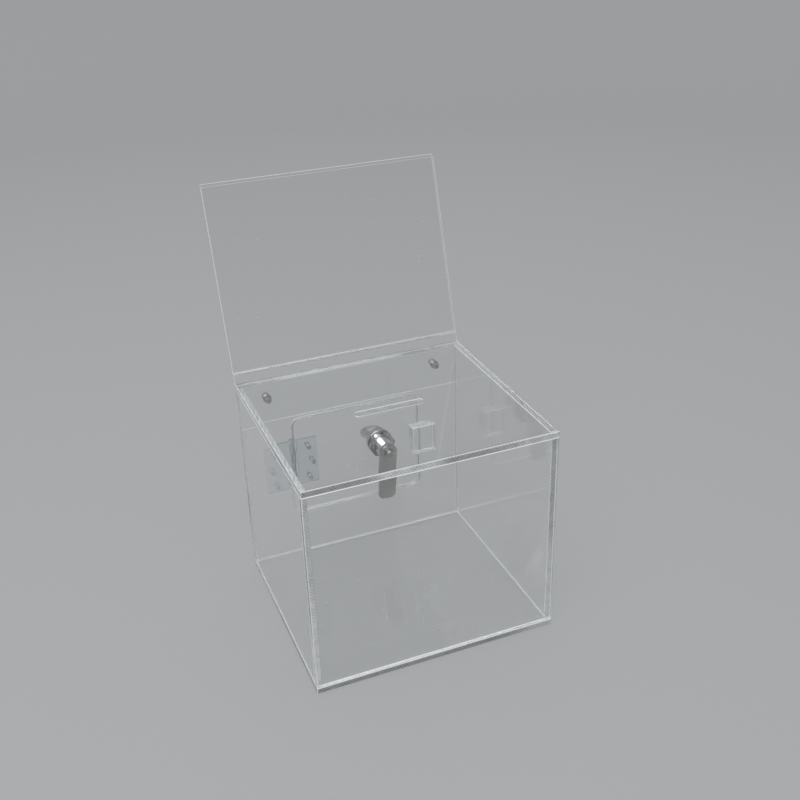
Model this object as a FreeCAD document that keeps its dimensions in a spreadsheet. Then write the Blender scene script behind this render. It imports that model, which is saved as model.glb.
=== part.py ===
import FreeCAD, Part
import math
import os
import re
import Sketcher

# A clear acrylic donation box with a coin slot, a hinged and locked door in its back wall, and a leaning sign
# holder above the back wall. Millimetres, +Z up, the origin at the middle of the base's underside. The front
# faces -Y and the door is in the +Y wall.

SIZES = {
    # acrylic box
    "box_width": 200,
    "box_depth": 180,
    "box_height": 180,
    "wall": 5,
    "slot_length": 55.5,
    "slot_width": 4.5,
    # door in the back wall
    "door_width": 114,
    "door_height": 86.5,
    "door_centre_x": 1,
    "door_centre_z": 91.5,
    "door_corner": 7,
    "door_gap": 1,
    # strike block beside the door
    "strike_width": 22,
    "strike_height": 27,
    "strike_depth": 10,
    "strike_overlap": 8.5,
    # hinge outside the back wall
    "hinge_height": 44,
    "hinge_reach": 21.3,
    "leaf_thickness": 2,
    "leaf_corner": 0.6,
    "knuckle_radius": 2.8,
    "knuckle_clearance": 0.3,
    "pin_diameter": 2.5,
    "running_clearance": 0.05,
    "hinge_screw_near": 13,
    "hinge_screw_far": 16.2,
    "hinge_screw_rise": 15.2,
    "hinge_screw_diameter": 2,
    "hinge_screw_tail": 3.4,
    "hinge_head_diameter": 3.8,
    "hinge_head_height": 2,
    "hinge_socket_flats": 1.5,
    "hinge_socket_depth": 1,
    "hinge_nut_flats": 4,
    "hinge_nut_height": 1.6,
    "screw_clearance": 0.2,
    "thread_clearance": 0.05,
    # sign holder
    "sign_side_gap": 0.2,
    "sign_sheet": 2,
    "sign_flange": 42.8,
    "sign_bend": 4,
    "sign_lean": 17,
    "sign_length": 157,
    "sign_lip": 2.5,
    "paper_gap": 1.5,
    "pocket_rise": 8,
    "sign_screw_spread": 151,
    "sign_screw_drop": 19.5,
    "sign_screw_diameter": 3,
    "sign_screw_tail": 2,
    "sign_head_diameter": 5.4,
    "sign_head_height": 4,
    "sign_socket_flats": 2.5,
    "sign_socket_depth": 2,
    "sign_washer_diameter": 7.4,
    "sign_washer_thickness": 0.8,
    "sign_nut_flats": 5.5,
    "sign_nut_height": 2.4,
    # cam lock in the door
    "lock_offset": 22,
    "lock_rise": 2.5,
    "lock_head_diameter": 23,
    "lock_head_height": 5,
    "lock_head_round": 1.5,
    "barrel_diameter": 16,
    "barrel_flats": 14,
    "barrel_length": 20,
    "barrel_clearance": 0.2,
    "lock_nut_flats": 22,
    "lock_nut_height": 3,
    "lock_nut_chamfer": 0.6,
    "plug_diameter": 11.4,
    "plug_head_diameter": 14.8,
    "plug_head_height": 2.4,
    "plug_square": 7.2,
    "plug_play": 0.1,
    "keyway_depth": 17,
    "wafer_width": 6,
    "wafer_thickness": 0.8,
    "wafer_pitch": 2.4,
    "wafer_start": 4.5,
    "key_thickness": 1.9,
    "key_height": 7.6,
    "key_length": 16,
    "key_neck": 3,
    "key_bow": 22,
    "key_hole": 5,
    "key_play": 0.15,
    # quarter-turn stop behind the barrel
    "lock_travel": 90,
    "stop_margin": 2,
    "lug_sweep": 60,
    "lug_width": 1.9,
    "stop_thickness": 1,
    # cam arm and what holds it on the plug
    "arm_length": 42,
    "arm_width": 16,
    "arm_thickness": 2.4,
    "arm_corner": 5,
    "arm_droop": 5.4,
    "cam_washer_diameter": 14.5,
    "cam_washer_thickness": 1.2,
    "star_diameter": 10.5,
    "star_thickness": 0.7,
    "star_notch": 1.2,
    "cam_screw_diameter": 4,
    "cam_screw_length": 9,
    "cam_head_diameter": 8,
    "cam_head_height": 2.4,
    "cam_head_round": 0.9,
    "recess_length": 4.6,
    "recess_width": 1.1,
    "recess_depth": 1.3,
    "head_round": 0.5,
}
WAFERS = 5
STAR_TEETH = 10
KNUCKLES = 4
CLOSE = 0.01

# Places that several pieces share, worked out from the sizes.
BACK = "(box_depth / 2)"
INNER_BACK = "(box_depth / 2 - wall)"
PANEL_HEIGHT = "(box_height - 2 * wall)"
PANEL_MIDDLE = "(box_height / 2)"
DOOR_RIGHT = "(door_centre_x + door_width / 2)"
HINGE_X = "(door_centre_x - door_width / 2 - door_gap / 2)"
HINGE_Y = "(box_depth / 2 + knuckle_clearance + knuckle_radius)"
KNUCKLE_ROOM = f"(hinge_height / {KNUCKLES})"
LOCK_X = "(door_centre_x + lock_offset)"
LOCK_Z = "(door_centre_z + lock_rise)"
SIGN_WIDTH = "(box_width - 2 * sign_side_gap)"
SIGN_SCREW_Z = "(box_height - sign_screw_drop)"
HINGE_SCREW_HOLE = "(hinge_screw_diameter + 2 * screw_clearance)"
SIGN_SCREW_HOLE = "(sign_screw_diameter + 2 * screw_clearance)"
PLUG_BORE = "(plug_diameter + 2 * running_clearance)"
STOP_RADIUS = "(barrel_diameter / 2 - lug_width)"
ARM_SEAT = "(barrel_length + stop_thickness + plug_play)"
CAM_WASHER_SEAT = f"({ARM_SEAT} + arm_thickness)"
STAR_SEAT = f"({CAM_WASHER_SEAT} + cam_washer_thickness)"
CAM_HEAD_SEAT = f"({STAR_SEAT} + star_thickness)"

# A piece drawn in this turn has X to the right, Y up and Z running from outside the back wall into the box.
FACING_IN = FreeCAD.Rotation(FreeCAD.Vector(1, 0, 0), 90)
UPRIGHT = FreeCAD.Rotation()

doc = FreeCAD.newDocument("donation_box")
sheet = doc.addObject("Spreadsheet::Sheet", "Sizes")
for row, (alias, value) in enumerate(SIZES.items(), start=1):
    sheet.set(f"A{row}", alias)
    sheet.set(f"B{row}", str(value))
    sheet.setAlias(f"B{row}", alias)
doc.recompute()
pieces = []


def formula(text):
    return re.sub(r"[a-z_]+", lambda word: "Sizes." + word[0] if word[0] in SIZES else word[0], text)


def number(text):
    return float(sheet.evalExpression(text))


def bind(item, path, text):
    item.setExpression(path, formula(text))


def place(item, x="0", y="0", z="0", turn=UPRIGHT):
    item.Placement = FreeCAD.Placement(FreeCAD.Vector(), turn)
    for axis, where in zip("xyz", (x, y, z)):
        bind(item, f"Placement.Base.{axis}", where)


def new_body(label):
    body = doc.addObject("PartDesign::Body", label)
    body.Label = label
    pieces.append(body)
    return body


def origin_part(body, role):
    return next(part for part in body.Origin.OriginFeatures if part.Role == role)


def new_sketch(body, height="0", plane="XY_Plane"):
    sketch = body.newObject("Sketcher::SketchObject", body.Label + "_outline")
    sketch.AttachmentSupport = (origin_part(body, plane), "")
    sketch.MapMode = "FlatFace"
    bind(sketch, "AttachmentOffset.Base.z", height)
    return sketch


def hold(sketch, kind, *where, size=None):
    if size is None:
        sketch.addConstraint(Sketcher.Constraint(kind, *where))
        return
    start = number(size)
    if kind == "Angle":
        start = math.radians(start)
    index = sketch.addConstraint(Sketcher.Constraint(kind, *where, start))
    sketch.renameConstraint(index, f"size_{index}")
    bind(sketch, f"Constraints.size_{index}", size)


def hold_point(sketch, line, end, x, y):
    hold(sketch, "DistanceX", -1, 1, line, end, size=x)
    hold(sketch, "DistanceY", -1, 1, line, end, size=y)


def add_line(sketch, start, end):
    return sketch.addGeometry(Part.LineSegment(FreeCAD.Vector(*start, 0), FreeCAD.Vector(*end, 0)))


def add_arc(sketch, centre, radius, start, end):
    round_edge = Part.Circle(FreeCAD.Vector(*centre, 0), FreeCAD.Vector(0, 0, 1), radius)
    return sketch.addGeometry(Part.ArcOfCircle(round_edge, math.radians(start), math.radians(end)))


def circle(sketch, diameter, x="0", y="0"):
    centre = FreeCAD.Vector(number(x), number(y), 0)
    edge = sketch.addGeometry(Part.Circle(centre, FreeCAD.Vector(0, 0, 1), number(diameter) / 2))
    hold(sketch, "Diameter", edge, size=diameter)
    hold_point(sketch, edge, 3, x, y)


def rectangle(sketch, width, height, x="0", y="0"):
    half_width = number(width) / 2
    half_height = number(height) / 2
    middle_x = number(x)
    middle_y = number(y)
    corners = [(middle_x + across * half_width, middle_y + up * half_height)
               for across, up in ((-1, -1), (1, -1), (1, 1), (-1, 1))]
    lines = [add_line(sketch, corners[i], corners[(i + 1) % 4]) for i in range(4)]
    for i, line in enumerate(lines):
        hold(sketch, "Coincident", line, 2, lines[(i + 1) % 4], 1)
        hold(sketch, "Vertical" if i % 2 else "Horizontal", line)
    hold_point(sketch, lines[0], 1, f"({x}) - ({width}) / 2", f"({y}) - ({height}) / 2")
    hold(sketch, "DistanceX", lines[0], 1, lines[0], 2, size=width)
    hold(sketch, "DistanceY", lines[1], 1, lines[1], 2, size=height)


def rounded_rectangle(sketch, width, height, radius, x="0", y="0"):
    round_size = number(radius)
    inner_x = number(width) / 2 - round_size
    inner_y = number(height) / 2 - round_size
    middle = (number(x), number(y))
    lines = []
    arcs = []
    for quarter in range(4):
        turn = math.radians(90 * quarter - 90)
        out = (math.cos(turn), math.sin(turn))
        along = (-out[1], out[0])
        reach = inner_y if quarter % 2 == 0 else inner_x
        half = inner_x if quarter % 2 == 0 else inner_y
        side = [middle[axis] + out[axis] * (reach + round_size) for axis in (0, 1)]
        start = [side[axis] - along[axis] * half for axis in (0, 1)]
        end = [side[axis] + along[axis] * half for axis in (0, 1)]
        centre = [end[axis] - out[axis] * round_size for axis in (0, 1)]
        lines.append(add_line(sketch, start, end))
        arcs.append(add_arc(sketch, centre, round_size, 90 * quarter - 90, 90 * quarter))
    for i in range(4):
        hold(sketch, "Tangent", lines[i], 2, arcs[i], 1)
        hold(sketch, "Tangent", arcs[i], 2, lines[(i + 1) % 4], 1)
        hold(sketch, "Vertical" if i % 2 else "Horizontal", lines[i])
    for arc in arcs[1:]:
        hold(sketch, "Equal", arcs[0], arc)
    hold(sketch, "Radius", arcs[0], size=radius)
    hold(sketch, "DistanceX", -1, 1, lines[3], 1, size=f"({x}) - ({width}) / 2")
    hold(sketch, "DistanceY", -1, 1, lines[0], 1, size=f"({y}) - ({height}) / 2")
    hold(sketch, "DistanceX", lines[3], 1, lines[1], 1, size=width)
    hold(sketch, "DistanceY", lines[0], 1, lines[2], 1, size=height)


def rounded_slot(sketch, length, width):
    half = (number(length) - number(width)) / 2
    radius = number(width) / 2
    low = add_line(sketch, (-half, -radius), (half, -radius))
    right = add_arc(sketch, (half, 0), radius, -90, 90)
    high = add_line(sketch, (half, radius), (-half, radius))
    left = add_arc(sketch, (-half, 0), radius, 90, 270)
    hold(sketch, "Tangent", low, 2, right, 1)
    hold(sketch, "Tangent", right, 2, high, 1)
    hold(sketch, "Tangent", high, 2, left, 1)
    hold(sketch, "Tangent", left, 2, low, 1)
    hold(sketch, "Horizontal", low)
    hold(sketch, "Symmetric", left, 3, right, 3, -1, 1)
    hold(sketch, "DistanceX", left, 3, right, 3, size=f"({length}) - ({width})")
    hold(sketch, "Radius", left, size=f"({width}) / 2")


def hexagon(sketch, flats, x="0", y="0"):
    across_corners = f"({flats}) / cos(30)"
    middle = FreeCAD.Vector(number(x), number(y), 0)
    radius = number(across_corners) / 2
    ring = sketch.addGeometry(Part.Circle(middle, FreeCAD.Vector(0, 0, 1), radius), True)
    corners = []
    for i in range(6):
        turn = math.radians(60 * i - 30)
        corners.append((middle.x + radius * math.cos(turn), middle.y + radius * math.sin(turn)))
    lines = [add_line(sketch, corners[i], corners[(i + 1) % 6]) for i in range(6)]
    for i, line in enumerate(lines):
        hold(sketch, "Coincident", line, 2, lines[(i + 1) % 6], 1)
        hold(sketch, "PointOnObject", line, 1, ring)
    for line in lines[1:]:
        hold(sketch, "Equal", lines[0], line)
    hold(sketch, "Vertical", lines[0])
    hold(sketch, "Diameter", ring, size=across_corners)
    hold_point(sketch, ring, 3, x, y)


def flatted_circle(sketch, diameter, flats, x="0", y="0"):
    radius = number(diameter) / 2
    half = number(flats) / 2
    rise = math.sqrt(radius ** 2 - half ** 2)
    corner = math.degrees(math.atan2(rise, half))
    middle_x = number(x)
    middle_y = number(y)
    right = add_line(sketch, (middle_x + half, middle_y - rise), (middle_x + half, middle_y + rise))
    top = add_arc(sketch, (middle_x, middle_y), radius, corner, 180 - corner)
    left = add_line(sketch, (middle_x - half, middle_y + rise), (middle_x - half, middle_y - rise))
    bottom = add_arc(sketch, (middle_x, middle_y), radius, 180 + corner, 360 - corner)
    for first, second in ((right, top), (top, left), (left, bottom), (bottom, right)):
        hold(sketch, "Coincident", first, 2, second, 1)
    hold(sketch, "Coincident", top, 3, bottom, 3)
    hold(sketch, "Equal", top, bottom)
    hold(sketch, "Vertical", right)
    hold(sketch, "Vertical", left)
    hold_point(sketch, top, 3, x, y)
    hold(sketch, "Diameter", top, size=diameter)
    hold(sketch, "DistanceX", top, 3, right, 1, size=f"({flats}) / 2")
    hold(sketch, "DistanceX", left, 1, top, 3, size=f"({flats}) / 2")


def ring_sector(sketch, inner, outer, start, end):
    inner_radius = number(inner)
    outer_radius = number(outer)
    first = number(start)
    last = number(end)
    arcs = [add_arc(sketch, (0, 0), radius, first, last) for radius in (inner_radius, outer_radius)]
    sides = []
    for angle in (first, last):
        turn = math.radians(angle)
        ray = (math.cos(turn), math.sin(turn))
        sides.append(add_line(sketch, (inner_radius * ray[0], inner_radius * ray[1]),
                              (outer_radius * ray[0], outer_radius * ray[1])))
    for arc, radius in zip(arcs, (inner, outer)):
        hold(sketch, "Coincident", arc, 3, -1, 1)
        hold(sketch, "Radius", arc, size=radius)
    for end_of_arc, (side, angle) in enumerate(zip(sides, (start, end)), start=1):
        hold(sketch, "Coincident", side, 1, arcs[0], end_of_arc)
        hold(sketch, "Coincident", side, 2, arcs[1], end_of_arc)
        hold(sketch, "PointOnObject", -1, 1, side)
        hold(sketch, "Angle", side, size=angle)


def pad(body, sketch, length, both_ways=False):
    feature = body.newObject("PartDesign::Pad", body.Label + "_pad")
    feature.Profile = sketch
    feature.Midplane = both_ways
    bind(feature, "Length", length)
    doc.recompute()
    return feature


def pocket(body, sketch, depth=None):
    before = body.Shape.Volume
    feature = body.newObject("PartDesign::Pocket", body.Label + "_pocket")
    feature.Profile = sketch
    if depth is None:
        feature.Type = "ThroughAll"
        feature.Midplane = True
    else:
        bind(feature, "Length", depth)
    doc.recompute()
    if body.Shape.Volume >= before:
        raise RuntimeError(f"{feature.Label} cuts nothing")
    return feature


def round_edges(body, radius, chosen, kind="PartDesign::Fillet"):
    base = body.Tip
    names = [f"Edge{i}" for i, edge in enumerate(base.Shape.Edges, start=1) if chosen(edge)]
    feature = body.newObject(kind, body.Label + "_edge")
    feature.Base = (base, names)
    bind(feature, "Size" if kind == "PartDesign::Chamfer" else "Radius", radius)
    doc.recompute()


def repeat(body, feature, kind, axis, count, **sizes):
    pattern = body.newObject(kind, body.Label + "_repeat")
    pattern.Originals = [feature]
    line = (origin_part(body, axis), [""])
    if kind == "PartDesign::PolarPattern":
        pattern.Axis = line
    else:
        pattern.Direction = line
    for path, text in sizes.items():
        bind(pattern, path, text)
    pattern.Occurrences = count
    body.Tip = pattern
    doc.recompute()


def at_height(text, radius=None):
    level = number(text)

    def chosen(edge):
        flat = abs(edge.BoundBox.ZMin - level) < CLOSE and abs(edge.BoundBox.ZMax - level) < CLOSE
        if radius is None or not flat:
            return flat
        return hasattr(edge.Curve, "Radius") and abs(edge.Curve.Radius - number(radius)) < CLOSE

    return chosen


# Box panels: the four walls stand between the base and the top, and the side walls between the other two.
def flat_panel(label, width, height, cut_outs=None, **where):
    body = new_body(label)
    outline = new_sketch(body)
    rectangle(outline, width, height)
    if cut_outs:
        cut_outs(outline)
    pad(body, outline, "wall")
    place(body, **where)


def coin_slot(outline):
    rounded_slot(outline, "slot_length", "slot_width")


def hinge_spots(side):
    near = f"{HINGE_X} + {side} * hinge_screw_near"
    far = f"{HINGE_X} + {side} * hinge_screw_far"
    return ((near, "hinge_screw_rise"), (far, "0"), (near, "-hinge_screw_rise"))


def sign_spots():
    return (("-sign_screw_spread / 2", "0"), ("sign_screw_spread / 2", "0"))


def back_wall_cuts(outline):
    rounded_rectangle(outline, "door_width + 2 * door_gap", "door_height + 2 * door_gap",
                      "door_corner + door_gap", "door_centre_x", f"door_centre_z - {PANEL_MIDDLE}")
    for x, up in hinge_spots(-1):
        circle(outline, HINGE_SCREW_HOLE, x, f"door_centre_z - {PANEL_MIDDLE} + {up}")
    for x, up in sign_spots():
        circle(outline, SIGN_SCREW_HOLE, x, f"{SIGN_SCREW_Z} - {PANEL_MIDDLE} + {up}")


flat_panel("base_panel", "box_width", "box_depth")
flat_panel("top_panel", "box_width", "box_depth", coin_slot, z="box_height - wall")
flat_panel("front_panel", "box_width", PANEL_HEIGHT, y="wall - box_depth / 2", z=PANEL_MIDDLE, turn=FACING_IN)
flat_panel("back_panel", "box_width", PANEL_HEIGHT, back_wall_cuts, y=BACK, z=PANEL_MIDDLE, turn=FACING_IN)
FACING_RIGHT = FreeCAD.Rotation(FreeCAD.Vector(0, 0, 1), 90) * FACING_IN
for side_label, side_x in (("left_panel", "-box_width / 2"), ("right_panel", "box_width / 2 - wall")):
    flat_panel(side_label, "box_depth - 2 * wall", PANEL_HEIGHT, x=side_x, z=PANEL_MIDDLE, turn=FACING_RIGHT)


# Door: drawn from outside the back wall, with holes for the hinge screws and a flatted hole for the lock.
door = new_body("access_door")
door_outline = new_sketch(door)
rounded_rectangle(door_outline, "door_width", "door_height", "door_corner")
for spot_x, spot_up in hinge_spots(1):
    circle(door_outline, HINGE_SCREW_HOLE, f"{spot_x} - door_centre_x", spot_up)
flatted_circle(door_outline, "barrel_diameter + 2 * barrel_clearance", "barrel_flats + 2 * barrel_clearance",
               "lock_offset", "lock_rise")
pad(door, door_outline, "wall")
place(door, "door_centre_x", BACK, "door_centre_z", FACING_IN)

strike = new_body("strike_block")
strike_outline = new_sketch(strike)
rectangle(strike_outline, "strike_width", "strike_height")
pad(strike, strike_outline, "strike_depth")
place(strike, f"{DOOR_RIGHT} - strike_overlap + strike_width / 2", INNER_BACK, LOCK_Z, FACING_IN)


# Hinge: each leaf is drawn about the pin, with the wall's outer face behind it and knuckles in turn.
def hinge_leaf(label, side, first_knuckle):
    body = new_body(label)
    face = "(knuckle_radius + knuckle_clearance)"
    root = f"({side} * {face})"
    plate = new_sketch(body, f"{face} - leaf_thickness", "XZ_Plane")
    plate_width = f"(hinge_reach - {face})"
    rectangle(plate, plate_width, "hinge_height", f"{root} + {side} * {plate_width} / 2")
    for x, up in hinge_spots(side):
        circle(plate, HINGE_SCREW_HOLE, f"{x} - {HINGE_X}", up)
    pad(body, plate, "leaf_thickness")
    end = side * number("hinge_reach")
    round_edges(body, "leaf_corner", lambda edge: abs(edge.BoundBox.XMin - end) < CLOSE
                and abs(edge.BoundBox.XMax - end) < CLOSE and edge.BoundBox.ZLength < CLOSE)
    for knuckle in range(first_knuckle, KNUCKLES, 2):
        foot = f"hinge_height / 2 - {knuckle + 1} * {KNUCKLE_ROOM} + knuckle_clearance / 2"
        length = f"{KNUCKLE_ROOM} - knuckle_clearance"
        web = new_sketch(body, foot)
        rectangle(web, face, "leaf_thickness", f"{root} / 2", f"leaf_thickness / 2 - {face}")
        pad(body, web, length)
        barrel = new_sketch(body, foot)
        circle(barrel, "2 * knuckle_radius")
        pad(body, barrel, length)
    bore = new_sketch(body)
    circle(bore, "pin_diameter + 2 * running_clearance")
    pocket(body, bore)
    place(body, HINGE_X, HINGE_Y, "door_centre_z")


hinge_leaf("hinge_wall_leaf", -1, 0)
hinge_leaf("hinge_door_leaf", 1, 1)

pin = doc.addObject("Part::Cylinder", "hinge_pin")
bind(pin, "Radius", "pin_diameter / 2")
bind(pin, "Height", "hinge_height - knuckle_clearance")
place(pin, HINGE_X, HINGE_Y, "door_centre_z - hinge_height / 2 + knuckle_clearance / 2")
pieces.append(pin)


# Fasteners: a node holds its set of equal screws, nuts or washers, drawn from the back wall's outer face.
def place_on_back(body, z):
    place(body, "0", BACK, z, FACING_IN)


def round_set(body, spots, diameter, start, length, bore=None):
    outline = new_sketch(body, start)
    for x, up in spots:
        circle(outline, diameter, x, up)
        if bore:
            circle(outline, bore, x, up)
    return pad(body, outline, length)


def nut_set(label, spots, flats, thread, start, height, z):
    body = new_body(label)
    outline = new_sketch(body, start)
    for x, up in spots:
        hexagon(outline, flats, x, up)
        circle(outline, f"{thread} + 2 * thread_clearance", x, up)
    pad(body, outline, height)
    place_on_back(body, z)


def socket_screw_set(label, spots, family, seat, tail_end, z):
    body = new_body(label)
    head_face = f"({seat} + {family}_head_height)"
    round_set(body, spots, f"{family}_head_diameter", seat, f"{family}_head_height")
    round_edges(body, "head_round", at_height(head_face))
    round_set(body, spots, f"{family}_screw_diameter", tail_end, f"{seat} - {tail_end}")
    sockets = new_sketch(body, head_face)
    for x, up in spots:
        hexagon(sockets, f"{family}_socket_flats", x, up)
    pocket(body, sockets, f"{family}_socket_depth")
    place_on_back(body, z)


def hinge_fasteners(name, side):
    spots = hinge_spots(side)
    nut_face = "(-leaf_thickness - hinge_nut_height)"
    socket_screw_set(f"hinge_{name}_screws", spots, "hinge", "wall", f"({nut_face} - hinge_screw_tail)",
                     "door_centre_z")
    nut_set(f"hinge_{name}_nuts", spots, "hinge_nut_flats", "hinge_screw_diameter", nut_face,
            "hinge_nut_height", "door_centre_z")


hinge_fasteners("wall", -1)
hinge_fasteners("door", 1)


# Sign holder: a long sheet screwed to the wall and bent back, and a shorter sheet that holds the paper to it.
def bent_outline(sketch, foot, bend_height):
    thickness = number("sign_sheet")
    inner = number("sign_bend")
    lean = number("sign_lean")
    front = number(BACK)
    top_of_flange = number(bend_height)
    centre = (front + thickness + inner, top_of_flange)
    run = (math.sin(math.radians(lean)), math.cos(math.radians(lean)))
    low_front = (front, number(foot))
    low_rear = (front + thickness, number(foot))
    bend_front = (front, top_of_flange)
    bend_rear = (front + thickness, top_of_flange)
    lean_front = (centre[0] - (inner + thickness) * run[1], centre[1] + (inner + thickness) * run[0])
    lean_rear = (centre[0] - inner * run[1], centre[1] + inner * run[0])
    rise = (number("sign_length") * run[0], number("sign_length") * run[1])
    top_front = (lean_front[0] + rise[0], lean_front[1] + rise[1])
    top_rear = (lean_rear[0] + rise[0], lean_rear[1] + rise[1])
    flange_front = add_line(sketch, low_front, bend_front)
    outer_bend = add_arc(sketch, centre, inner + thickness, 180 - lean, 180)
    face_front = add_line(sketch, lean_front, top_front)
    top = add_line(sketch, top_front, top_rear)
    face_rear = add_line(sketch, top_rear, lean_rear)
    inner_bend = add_arc(sketch, centre, inner, 180 - lean, 180)
    flange_rear = add_line(sketch, bend_rear, low_rear)
    bottom = add_line(sketch, low_rear, low_front)
    hold(sketch, "Tangent", flange_front, 2, outer_bend, 2)
    hold(sketch, "Tangent", outer_bend, 1, face_front, 1)
    hold(sketch, "Coincident", face_front, 2, top, 1)
    hold(sketch, "Coincident", top, 2, face_rear, 1)
    hold(sketch, "Tangent", face_rear, 2, inner_bend, 1)
    hold(sketch, "Tangent", inner_bend, 2, flange_rear, 1)
    hold(sketch, "Coincident", flange_rear, 2, bottom, 1)
    hold(sketch, "Coincident", bottom, 2, flange_front, 1)
    hold(sketch, "Coincident", outer_bend, 3, inner_bend, 3)
    hold(sketch, "Vertical", flange_front)
    hold(sketch, "Vertical", flange_rear)
    hold(sketch, "Horizontal", bottom)
    hold(sketch, "Perpendicular", face_front, top)
    hold(sketch, "Parallel", face_front, face_rear)
    hold(sketch, "Angle", face_front, size="90 - sign_lean")
    hold(sketch, "Radius", inner_bend, size="sign_bend")
    hold(sketch, "DistanceX", bottom, 2, bottom, 1, size="sign_sheet")
    hold(sketch, "Distance", face_front, size="sign_length")
    hold_point(sketch, flange_front, 1, BACK, foot)
    hold(sketch, "DistanceY", -1, 1, flange_front, 2, size=bend_height)


front_sheet = new_body("sign_front_sheet")
front_profile = new_sketch(front_sheet, plane="YZ_Plane")
bent_outline(front_profile, "box_height - sign_flange", "box_height")
pad(front_sheet, front_profile, SIGN_WIDTH, both_ways=True)
flange_holes = new_sketch(front_sheet, plane="XZ_Plane")
for spot_x, spot_up in sign_spots():
    circle(flange_holes, SIGN_SCREW_HOLE, spot_x, f"{SIGN_SCREW_Z} + {spot_up}")
pocket(front_sheet, flange_holes)


def hooked_outline(sketch):
    seat = number("-sign_bend")
    inner = number("paper_gap")
    outer = number("paper_gap + sign_sheet")
    low = number("pocket_rise")
    high = number("sign_length + sign_lip")
    inner_hook = add_arc(sketch, (seat, low), inner, 270, 360)
    face_front = add_line(sketch, (seat + inner, low), (seat + inner, high))
    top = add_line(sketch, (seat + inner, high), (seat + outer, high))
    face_rear = add_line(sketch, (seat + outer, high), (seat + outer, low))
    outer_hook = add_arc(sketch, (seat, low), outer, 270, 360)
    glued_edge = add_line(sketch, (seat, low - outer), (seat, low - inner))
    hold(sketch, "Tangent", inner_hook, 2, face_front, 1)
    hold(sketch, "Coincident", face_front, 2, top, 1)
    hold(sketch, "Coincident", top, 2, face_rear, 1)
    hold(sketch, "Tangent", face_rear, 2, outer_hook, 2)
    hold(sketch, "Coincident", outer_hook, 1, glued_edge, 1)
    hold(sketch, "Coincident", glued_edge, 2, inner_hook, 1)
    hold(sketch, "Coincident", inner_hook, 3, outer_hook, 3)
    hold(sketch, "Vertical", face_front)
    hold(sketch, "Vertical", face_rear)
    hold(sketch, "Vertical", glued_edge)
    hold(sketch, "Horizontal", top)
    hold(sketch, "PointOnObject", inner_hook, 3, glued_edge)
    hold_point(sketch, inner_hook, 3, "-sign_bend", "pocket_rise")
    hold(sketch, "Radius", inner_hook, size="paper_gap")
    hold(sketch, "Radius", outer_hook, size="paper_gap + sign_sheet")
    hold(sketch, "DistanceY", -1, 1, top, 1, size="sign_length + sign_lip")


back_sheet = new_body("sign_back_sheet")
back_profile = new_sketch(back_sheet, plane="YZ_Plane")
hooked_outline(back_profile)
pad(back_sheet, back_profile, SIGN_WIDTH, both_ways=True)
leaning = FreeCAD.Rotation(FreeCAD.Vector(1, 0, 0), -number("sign_lean"))
place(back_sheet, "0", f"{BACK} + sign_sheet + sign_bend", "box_height", leaning)

SIGN_NUT_FACE = "(-sign_sheet - sign_nut_height)"
socket_screw_set("sign_screws", sign_spots(), "sign", "(wall + sign_washer_thickness)",
                 f"({SIGN_NUT_FACE} - sign_screw_tail)", SIGN_SCREW_Z)

sign_washers = new_body("sign_washers")
round_set(sign_washers, sign_spots(), "sign_washer_diameter", "wall", "sign_washer_thickness",
          SIGN_SCREW_HOLE)
place_on_back(sign_washers, SIGN_SCREW_Z)
nut_set("sign_nuts", sign_spots(), "sign_nut_flats", "sign_screw_diameter", SIGN_NUT_FACE,
        "sign_nut_height", SIGN_SCREW_Z)


# Cam lock: drawn about the lock's axis from the door's outer face, with the arm hanging in the open position.
def lock_body(label):
    body = new_body(label)
    place(body, LOCK_X, BACK, LOCK_Z, FACING_IN)
    return body


def disc(body, diameter, start, length, bore=None):
    return round_set(body, (("0", "0"),), diameter, start, length, bore)


LUG_START = "(90 - lug_sweep / 2)"
LUG_END = "(90 + lug_sweep / 2)"
PLUG_SEAT = "(plug_head_height - lock_head_height)"

housing = lock_body("lock_housing")
disc(housing, "lock_head_diameter", "-lock_head_height", "lock_head_height")
round_edges(housing, "lock_head_round", at_height("-lock_head_height"))
barrel_outline = new_sketch(housing)
flatted_circle(barrel_outline, "barrel_diameter", "barrel_flats")
pad(housing, barrel_outline, "barrel_length")
lug_outline = new_sketch(housing, "barrel_length")
ring_sector(lug_outline, f"{STOP_RADIUS} + plug_play", "barrel_diameter / 2", LUG_START, LUG_END)
pad(housing, lug_outline, "stop_thickness")
plug_bore = new_sketch(housing)
circle(plug_bore, PLUG_BORE)
pocket(housing, plug_bore)
plug_recess = new_sketch(housing, f"{PLUG_SEAT} + plug_play")
circle(plug_recess, "plug_head_diameter + 2 * plug_play")
pocket(housing, plug_recess, "plug_head_height + plug_play")

lock_nut = lock_body("lock_nut")
nut_outline = new_sketch(lock_nut, "wall")
hexagon(nut_outline, "lock_nut_flats")
circle(nut_outline, "barrel_diameter + 2 * thread_clearance")
pad(lock_nut, nut_outline, "lock_nut_height")
round_edges(lock_nut, "lock_nut_chamfer",
            lambda edge: at_height("wall + lock_nut_height")(edge) and not hasattr(edge.Curve, "Radius"),
            "PartDesign::Chamfer")

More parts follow.
